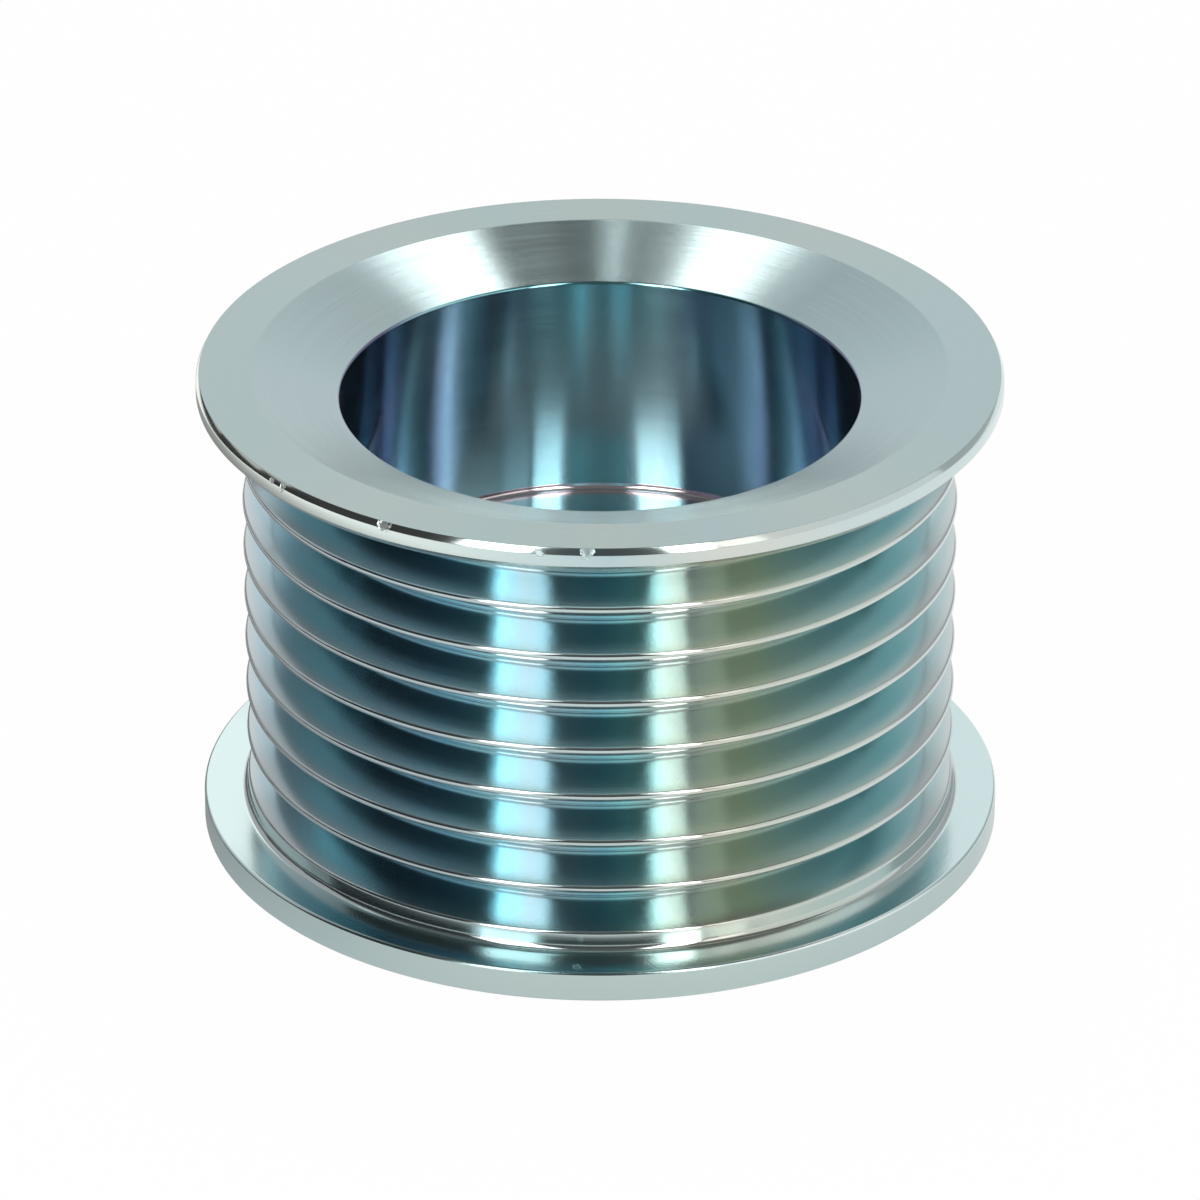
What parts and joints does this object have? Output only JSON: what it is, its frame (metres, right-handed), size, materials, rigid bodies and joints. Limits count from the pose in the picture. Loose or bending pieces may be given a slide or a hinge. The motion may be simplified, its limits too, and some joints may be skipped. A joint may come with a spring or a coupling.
{
  "type": "ribbed belt pulley",
  "caption": "Turned steel fan belt pulley: V-grooves for a ribbed belt between two flanges, a dished mouth, a deep counterbore for the shaft nut and a shaft hole.",
  "frame": {"origin": "centre of the rear face, which the pulley stands on", "axes": "+Z along the shaft axis, from the rear face to the dished mouth"},
  "size_m": [0.056, 0.056, 0.0345],
  "materials": {
    "zinc_plated_steel": "bright turned steel, zinc plated and clear passivated, with a faint blue and straw sheen"
  },
  "bodies": {
    "root": {"pulley": "zinc_plated_steel"}
  },
  "joints": []
}
